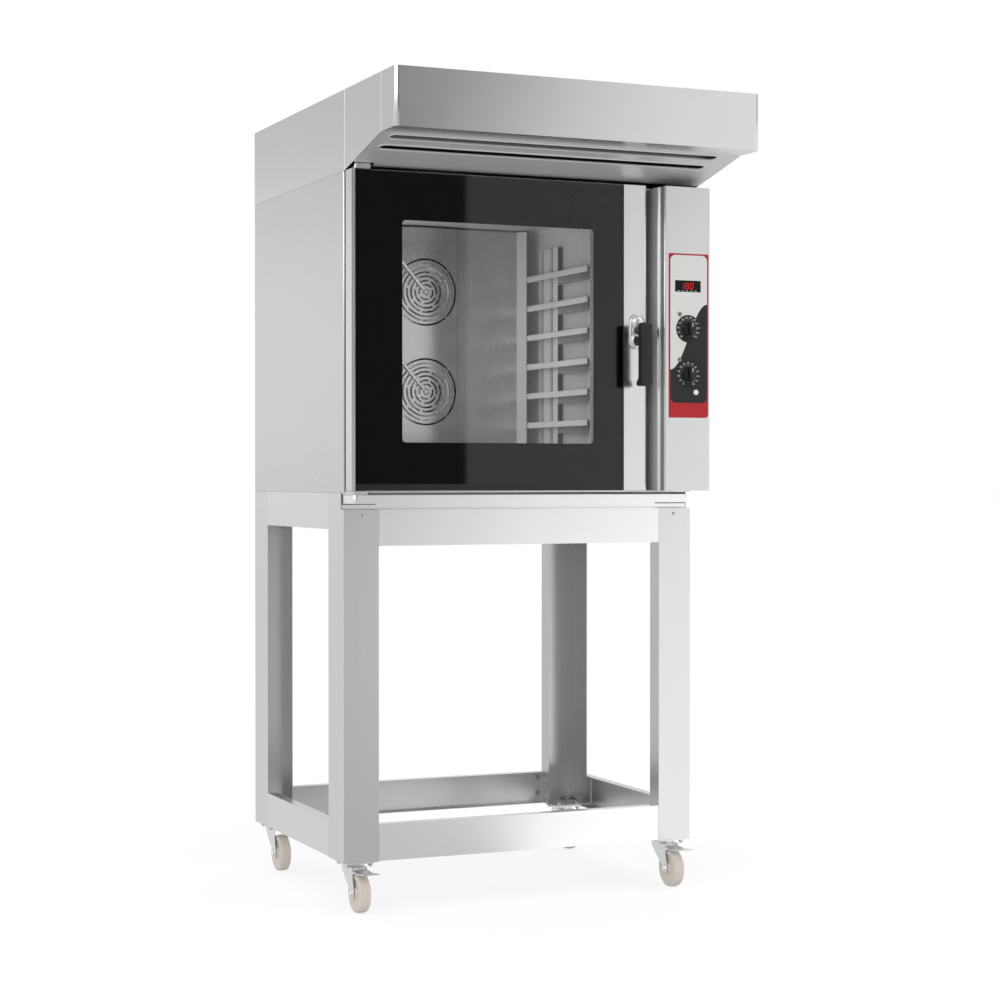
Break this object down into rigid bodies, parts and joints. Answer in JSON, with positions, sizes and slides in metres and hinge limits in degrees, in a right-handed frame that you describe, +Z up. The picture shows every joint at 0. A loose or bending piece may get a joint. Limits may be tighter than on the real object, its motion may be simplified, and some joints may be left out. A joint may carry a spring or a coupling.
{
  "type": "combi oven",
  "caption": "Stainless combi oven with a side-hung glass door, control column and extraction hood, on an open stand with castors.",
  "frame": {"origin": "centre of the footprint of the whole row at floor level, under the middle of the width and halfway from hood front to back panel", "axes": "+X to the right as seen from the front, +Y from the door towards the back panel, +Z up"},
  "size_m": [0.94, 1.064, 2.035],
  "materials": {
    "stand_steel": "satin",
    "bolt_steel": "satin",
    "castor_metal": "zinc plated",
    "castor_nylon": "matte",
    "oven_steel": "brushed",
    "cavity_steel": "satin",
    "fan_steel": "satin",
    "motor_paint": "semi-gloss",
    "element_metal": "dull",
    "lamp_glass": "frosted",
    "seal_rubber": "matte",
    "panel_overlay": "satin",
    "display": "gloss",
    "black_plastic": "satin",
    "white_plastic": "gloss",
    "black_glass": "polished",
    "clear_glass": "polished",
    "chrome": "polished",
    "hood_steel": "brushed"
  },
  "bodies": {
    "oven_on_stand": {"stand_leg_front_left": "stand_steel", "stand_leg_front_right": "stand_steel", "stand_leg_rear_left": "stand_steel", "stand_leg_rear_right": "stand_steel", "stand_top_rail_front": "stand_steel", "stand_top_rail_rear": "stand_steel", "stand_top_rail_left": "stand_steel", "stand_top_rail_right": "stand_steel", "stand_bottom_rail_front": "stand_steel", "stand_bottom_rail_rear": "stand_steel", "stand_bottom_rail_left": "stand_steel", "stand_bottom_rail_right": "stand_steel", "latch_keeper": "bolt_steel", "castor_top_plates": "castor_metal", "oven_base_panel": "oven_steel", "oven_left_panel": "oven_steel", "oven_right_panel": "oven_steel", "oven_back_panel": "oven_steel", "oven_top_panel": "oven_steel", "oven_front_frame": "oven_steel", "control_box": "oven_steel", "hinge_brackets": "oven_steel", "cavity_liner": "cavity_steel", "fan_baffle_panel": "cavity_steel", "water_pipes": "cavity_steel", "fan_motors": "motor_paint", "heating_elements": "element_metal", "cavity_lamp": "lamp_glass", "door_gasket": "seal_rubber", "control_overlay": "panel_overlay", "display_window": "display", "hood_shell": "hood_steel", "hood_fascia": "hood_steel", "hood_baffle": "hood_steel", "hood_exhaust_collar": "hood_steel"},
    "door": {"door_frame": "oven_steel", "door_glass_outer": "black_glass", "door_glass_inner": "clear_glass", "handle_rose": "chrome"},
    "door_handle": {"handle_lever": "black_plastic", "latch_tongue": "bolt_steel"},
    "drip_tray": {"drip_tray": "oven_steel"},
    "tray_rack_left": {"tray_rack_left": "cavity_steel"},
    "tray_rack_right": {"tray_rack_right": "cavity_steel"},
    "fan_upper": {"fan_impeller_upper": "fan_steel"},
    "fan_lower": {"fan_impeller_lower": "fan_steel"},
    "temperature_knob": {"temperature_knob": "black_plastic"},
    "timer_knob": {"timer_knob": "black_plastic"},
    "light_button": {"light_button": "white_plastic"},
    "castor_front_left": {"castor_fork_front_left": "castor_metal"},
    "wheel_front_left": {"castor_wheel_front_left": "castor_nylon"},
    "castor_front_right": {"castor_fork_front_right": "castor_metal"},
    "wheel_front_right": {"castor_wheel_front_right": "castor_nylon"},
    "castor_rear_left": {"castor_fork_rear_left": "castor_metal"},
    "wheel_rear_left": {"castor_wheel_rear_left": "castor_nylon"},
    "castor_rear_right": {"castor_fork_rear_right": "castor_metal"},
    "wheel_rear_right": {"castor_wheel_rear_right": "castor_nylon"},
    "brake_front_left": {"brake_pedal_front_left": "castor_metal"},
    "brake_front_right": {"brake_pedal_front_right": "castor_metal"}
  },
  "joints": [
    {"name": "door_hinge", "type": "hinge", "parent": "oven_on_stand", "child": "door", "pos_m": [-0.441, -0.221, 1.4], "axis": [0, 0, -1], "range_deg": [0, 120]},
    {"name": "handle_turn", "type": "hinge", "parent": "door", "child": "door_handle", "pos_m": [0.287, -0.242, 1.416], "axis": [0, 1, 0], "range_deg": [0, 60]},
    {"name": "drip_tray_slide", "type": "slide", "parent": "oven_on_stand", "child": "drip_tray", "axis": [0, -1, 0], "range_m": [0, 0.2]},
    {"name": "tray_rack_left_lift_off", "type": "slide", "parent": "oven_on_stand", "child": "tray_rack_left", "axis": [1, 0, 0], "range_m": [0, 0.03]},
    {"name": "tray_rack_right_lift_off", "type": "slide", "parent": "oven_on_stand", "child": "tray_rack_right", "axis": [-1, 0, 0], "range_m": [0, 0.03]},
    {"name": "fan_upper_spin", "type": "hinge", "parent": "oven_on_stand", "child": "fan_upper", "pos_m": [-0.066, 0.366, 1.544], "axis": [0, 1, 0], "continuous": true},
    {"name": "fan_lower_spin", "type": "hinge", "parent": "oven_on_stand", "child": "fan_lower", "pos_m": [-0.066, 0.366, 1.278], "axis": [0, 1, 0], "continuous": true},
    {"name": "temperature_knob_turn", "type": "hinge", "parent": "oven_on_stand", "child": "temperature_knob", "pos_m": [0.4075, -0.289, 1.422], "axis": [0, 1, 0], "range_deg": [0, 270]},
    {"name": "timer_knob_turn", "type": "hinge", "parent": "oven_on_stand", "child": "timer_knob", "pos_m": [0.4075, -0.289, 1.308], "axis": [0, 1, 0], "range_deg": [0, 300]},
    {"name": "light_button_press", "type": "slide", "parent": "oven_on_stand", "child": "light_button", "axis": [0, 1, 0], "range_m": [0, 0.003], "stiffness_N_per_m": 300, "springref_m": -0.001},
    {"name": "castor_front_left_swivel", "type": "hinge", "parent": "oven_on_stand", "child": "castor_front_left", "pos_m": [-0.425, -0.134, 0.106], "axis": [0, 0, 1], "continuous": true},
    {"name": "wheel_front_left_roll", "type": "hinge", "parent": "castor_front_left", "child": "wheel_front_left", "pos_m": [-0.425, -0.17, 0.047], "axis": [1, 0, 0], "continuous": true},
    {"name": "castor_front_right_swivel", "type": "hinge", "parent": "oven_on_stand", "child": "castor_front_right", "pos_m": [0.425, -0.134, 0.106], "axis": [0, 0, 1], "continuous": true},
    {"name": "wheel_front_right_roll", "type": "hinge", "parent": "castor_front_right", "child": "wheel_front_right", "pos_m": [0.425, -0.17, 0.047], "axis": [1, 0, 0], "continuous": true},
    {"name": "castor_rear_left_swivel", "type": "hinge", "parent": "oven_on_stand", "child": "castor_rear_left", "pos_m": [-0.425, 0.482, 0.106], "axis": [0, 0, 1], "continuous": true},
    {"name": "wheel_rear_left_roll", "type": "hinge", "parent": "castor_rear_left", "child": "wheel_rear_left", "pos_m": [-0.425, 0.446, 0.047], "axis": [1, 0, 0], "continuous": true},
    {"name": "castor_rear_right_swivel", "type": "hinge", "parent": "oven_on_stand", "child": "castor_rear_right", "pos_m": [0.425, 0.482, 0.106], "axis": [0, 0, 1], "continuous": true},
    {"name": "wheel_rear_right_roll", "type": "hinge", "parent": "castor_rear_right", "child": "wheel_rear_right", "pos_m": [0.425, 0.446, 0.047], "axis": [1, 0, 0], "continuous": true},
    {"name": "brake_front_left_press", "type": "hinge", "parent": "castor_front_left", "child": "brake_front_left", "pos_m": [-0.425, -0.163, 0.0978], "axis": [1, 0, 0], "range_deg": [0, 8]},
    {"name": "brake_front_right_press", "type": "hinge", "parent": "castor_front_right", "child": "brake_front_right", "pos_m": [0.425, -0.163, 0.0978], "axis": [1, 0, 0], "range_deg": [0, 8]}
  ]
}
